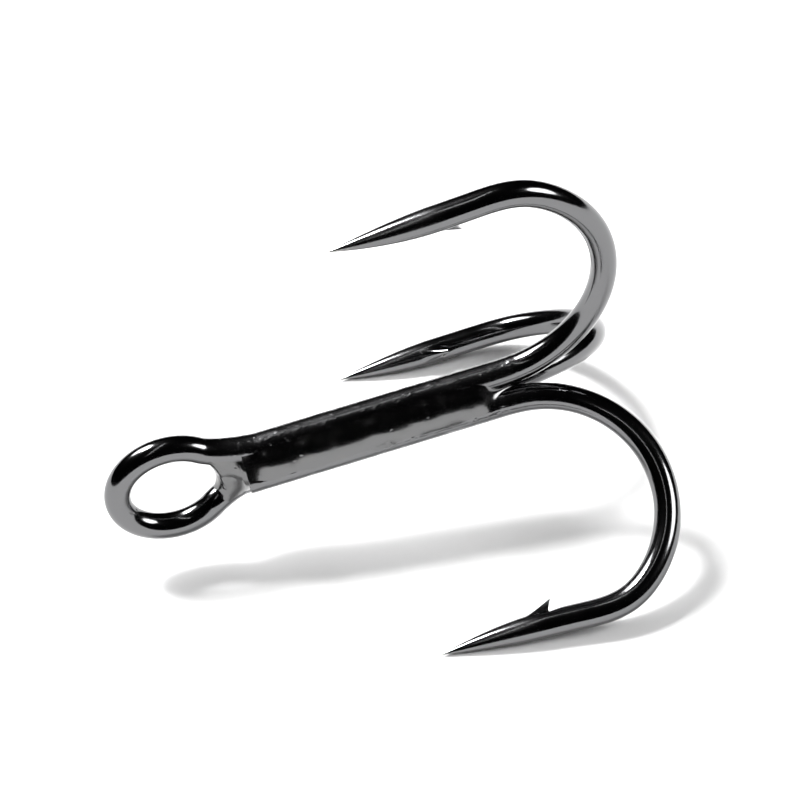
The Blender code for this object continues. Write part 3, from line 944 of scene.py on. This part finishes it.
# %% [markdown]
# ## Plated brazing metal
#
# Brazing metal freezes with a skin that is never as smooth as drawn wire. It holds soft ripples, round
# beads where it ran thick, and tiny craters left by flux. The same plating covers it, so the colour
# stays and only the relief and the roughness change.

# %% Finish of the brazing metal
BRAZE = (0.13, 0.13, 0.131, 1.0)
BRAZE_WARM = (0.16, 0.155, 0.15, 1.0)
BRAZE_POLISH = 0.13
BEAD_HEIGHT = 20e-6


def plated_braze(name):
    """Soft ripples, beads and flux craters under dark plating."""
    finish = Finish(name)
    place = finish.straight()
    ripple = finish.noise(place * (0.8, 1.4, 1.4), 1.3, 3.0)
    patch = finish.noise(place, 0.7, 2.0).ramp(0.47, 0.6)
    bead = (1.0 - finish.cells(place * (0.7, 1.0, 1.0), 2.2).ramp(0.03, 0.3)) * patch
    crater = finish.cells(place, 4.5).ramp(0.02, 0.14)
    grain = finish.noise(place, 9.0, 4.0)
    normal = finish.bump(ripple * 0.5 + bead, BEAD_HEIGHT)
    normal = finish.bump(grain * 1.2 + crater * 1.2, MICROMETRE, normal)
    stain = finish.noise(place, 1.1, 4.0).ramp(0.5, 0.8)
    colour = finish.mixed(stain * 0.5, BRAZE, BRAZE_WARM)
    roughness = BRAZE_POLISH + grain * 0.08 + stain * 0.08
    return finish.finish(Base_Color=colour, Metallic=1.0, Roughness=roughness, Normal=normal)


braze_finish = plated_braze("plated_braze_fine")

# %% [markdown]
# ## Dressing the hook
#
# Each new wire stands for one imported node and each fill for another. The small rod of brazing metal in
# the middle of the shank cannot be seen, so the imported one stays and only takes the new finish.

# %% Finishes, bodies and slots
def dress(piece, node, material):
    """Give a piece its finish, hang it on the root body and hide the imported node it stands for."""
    piece.data.materials.append(material)
    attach(piece, "root")
    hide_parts(node)


dress(double_wire, "double_hook", double_nickel)
dress(single_wire, "single_hook", single_nickel)
for node, fill in fills.items():
    dress(fill, node, braze_finish)
core = frame["nodes"]["braze_core"]
for slot in core.material_slots:
    slot.material = braze_finish
print("dressed", 2 + len(fills), "new pieces and the core")

# %% [markdown]
# ## A pale table and a dark room
#
# A mirror shows its room, so most of what the hook looks like is its room. A white table gives the even
# grey on everything that faces down, and the dark room above leaves the upper faces nearly black. The
# wall stands close behind the table only for low views: metal and diffuse light do not see it.

# %% Table and wall
TABLE_RADIUS = 4.0
WALL_RADIUS = 0.9
WALL_HEIGHT = 1.2
ROOM_SIDES = 128
PAPER_DARK = (0.80, 0.80, 0.80, 1.0)
PAPER_LIGHT = (0.83, 0.83, 0.83, 1.0)
FIBRE_SCALE = 900.0
WALL_GLOW = 1.1


def circle(radius, height):
    """Places round a level circle: radius times cosine and sine."""
    turn = np.linspace(0.0, 2 * np.pi, ROOM_SIDES, endpoint=False)
    return np.stack([radius * np.cos(turn), radius * np.sin(turn), np.full(ROOM_SIDES, height)], axis=1)


def room_object(name, verts, faces, paper_kind):
    """A plain mesh of the room, in its paper."""
    mesh = bpy.data.meshes.new(name)
    mesh.from_pydata(verts.tolist(), [], faces)
    mesh.materials.append(paper_kind)
    piece = bpy.data.objects.new(name, mesh)
    bpy.context.scene.collection.objects.link(piece)
    return piece


def paper(name, glow):
    """Matt white paper with a hint of fibre."""
    finish = Finish(name)
    place = finish.node("ShaderNodeTexCoord", {}, {}, "Object")
    fibre = finish.noise(place, FIBRE_SCALE)
    colour = finish.mixed(fibre, PAPER_DARK, PAPER_LIGHT)
    finish.feed(finish.shader.inputs["Specular IOR Level"], 0.0)
    finish.feed(finish.shader.inputs["Emission Strength"], glow)
    return finish.finish(Base_Color=colour, Roughness=0.9, Emission_Color=colour)


table = room_object("table", circle(TABLE_RADIUS, 0.0), [list(range(ROOM_SIDES))], paper("table_paper", 0.0))
wall_rims = np.concatenate([circle(WALL_RADIUS, 0.0), circle(WALL_RADIUS, WALL_HEIGHT)])
wall_faces = loop_faces(2, ROOM_SIDES)[:, ::-1].tolist()
wall = room_object("wall", wall_rims, wall_faces, paper("wall_paper", WALL_GLOW))
for ray in ("diffuse", "glossy", "transmission", "shadow"):
    setattr(wall, "visible_" + ray, False)
print("table is", 2 * TABLE_RADIUS, "m across, and the wall", 2 * WALL_RADIUS, "m")

# %% [markdown]
# ## Lamps and camera
#
# A lamp far away with a wide disc is the plainest soft light: every shadow edge is equally soft and
# the whole table is lit alike. The key lamp stands high at the back left, with a paler glow round it,
# and throws the long shadows; metal shows the pair as one soft-edged light. The side lamp gives the
# small second shadow. The room lamp is very wide and fills the shadows, and metal does not show it. A
# tube lamp overhead draws the thin line of light along the bends.
#
# A lens this long needs the camera well back, which keeps the near bend and the eye at nearly the
# same scale.

# %% Lamps
LAMPS = {
    "key_lamp": {"come_from": (-0.42, 0.51, 0.95), "width": 14.0, "strength": 5.0},
    "key_glow": {"come_from": (-0.42, 0.58, 0.72), "width": 26.0, "strength": 1.7},
    "side_lamp": {"come_from": (0.72, -0.28, 0.62), "width": 30.0, "strength": 1.9},
    "room_lamp": {"come_from": (0.0, 0.0, 1.0), "width": 120.0, "strength": 1.0, "mirrored": False},
}
TUBE_FROM = (-0.45, -0.80, 1.0)
TUBE_TO = (0.0, 0.25, 1.0)
TUBE_WIDTH = 0.025
TUBE_POWER = 0.4
ROOM_DARK = (0.004, 0.004, 0.0045, 1.0)


def far_lamp(name, come_from, width, strength, mirrored=True):
    """Soft round lamp far away in a given direction; with mirrored off, metal does not show it."""
    data = bpy.data.lights.new(name, "SUN")
    data.energy = strength
    data.angle = math.radians(width)
    lamp = bpy.data.objects.new(name, data)
    lamp.rotation_euler = Vector(come_from).to_track_quat("Z", "Y").to_euler()
    lamp.visible_glossy = mirrored
    bpy.context.scene.collection.objects.link(lamp)


def tube_lamp(name, start, end, width, power):
    """Long thin lamp between two places above the table."""
    start = Vector(start)
    end = Vector(end)
    data = bpy.data.lights.new(name, "AREA")
    data.shape = "RECTANGLE"
    data.size = (end - start).length
    data.size_y = width
    data.energy = power
    lamp = bpy.data.objects.new(name, data)
    middle = (start + end) / 2
    along = (end - start).normalized()
    up = (middle - along * middle.dot(along)).normalized()
    turned = Matrix((along, up.cross(along), up)).transposed()
    lamp.matrix_world = Matrix.Translation(middle) @ turned.to_4x4()
    bpy.context.scene.collection.objects.link(lamp)


for name, lamp in LAMPS.items():
    far_lamp(name, **lamp)
tube_lamp("tube_lamp", TUBE_FROM, TUBE_TO, TUBE_WIDTH, TUBE_POWER)
room = bpy.data.worlds.new("dark_room")
room.use_nodes = True
room.node_tree.nodes["Background"].inputs["Color"].default_value = ROOM_DARK
bpy.context.scene.world = room
bpy.context.scene.view_settings.view_transform = "Standard"
print("lamps:", ", ".join(LAMPS), "and tube_lamp")

# %% Camera
CAMERA_PLACE = (-0.027989, -0.130746, 0.129695)
CAMERA_TURN = (0.833675, 0.034388, -0.253108)
LENS = 152.04
NEAREST = 0.005
FARTHEST = 20.0

lens = bpy.data.cameras.new("camera")
lens.lens = LENS
lens.clip_start = NEAREST
lens.clip_end = FARTHEST
camera = bpy.data.objects.new("camera", lens)
camera.location = CAMERA_PLACE
camera.rotation_euler = CAMERA_TURN
bpy.context.scene.collection.objects.link(camera)
bpy.context.scene.camera = camera
print("camera is", round(camera.location.length, 3), "m from the middle of the hook's place")
